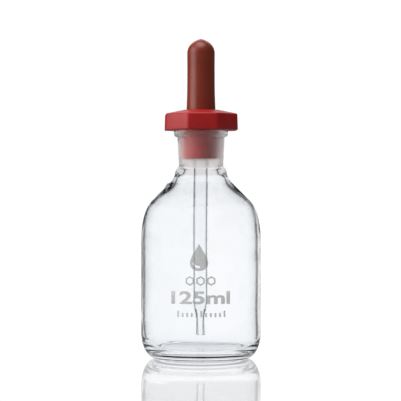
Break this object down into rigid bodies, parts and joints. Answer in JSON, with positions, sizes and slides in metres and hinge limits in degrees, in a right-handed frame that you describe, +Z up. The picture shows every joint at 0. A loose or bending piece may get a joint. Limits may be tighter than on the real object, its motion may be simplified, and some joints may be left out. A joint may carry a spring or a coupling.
{
  "type": "dropper bottle",
  "caption": "Clear glass bottle with a ground neck, closed by an octagonal plastic stopper that carries a glass dropper pipette with a rubber teat.",
  "frame": {"origin": "centre of the bottle's foot, on the surface it stands on", "axes": "+Z up along the bottle's axis, with the printed front towards -Y"},
  "size_m": [0.057, 0.057, 0.1524],
  "materials": {
    "clear_glass": "clear and polished, ground matt inside the bottle's neck",
    "red_plastic": "satin moulded polyethylene",
    "brown_rubber": "smooth moulded natural rubber"
  },
  "bodies": {
    "bottle": {"bottle": "clear_glass"},
    "dropper": {"pipette": "clear_glass"},
    "stopper": {"stopper": "red_plastic"},
    "teat": {"teat": "brown_rubber"}
  },
  "joints": [
    {"name": "dropper_lift", "type": "slide", "parent": "bottle", "child": "dropper", "axis": [0, 0, 1], "range_m": [0, 0.12]},
    {"name": "stopper_twist", "type": "hinge", "parent": "dropper", "child": "stopper", "pos_m": [0, 0, 0.1087], "axis": [0, 0, 1], "continuous": true},
    {"name": "teat_pull_off", "type": "slide", "parent": "dropper", "child": "teat", "axis": [0, 0, 1], "range_m": [0, 0.04]}
  ]
}
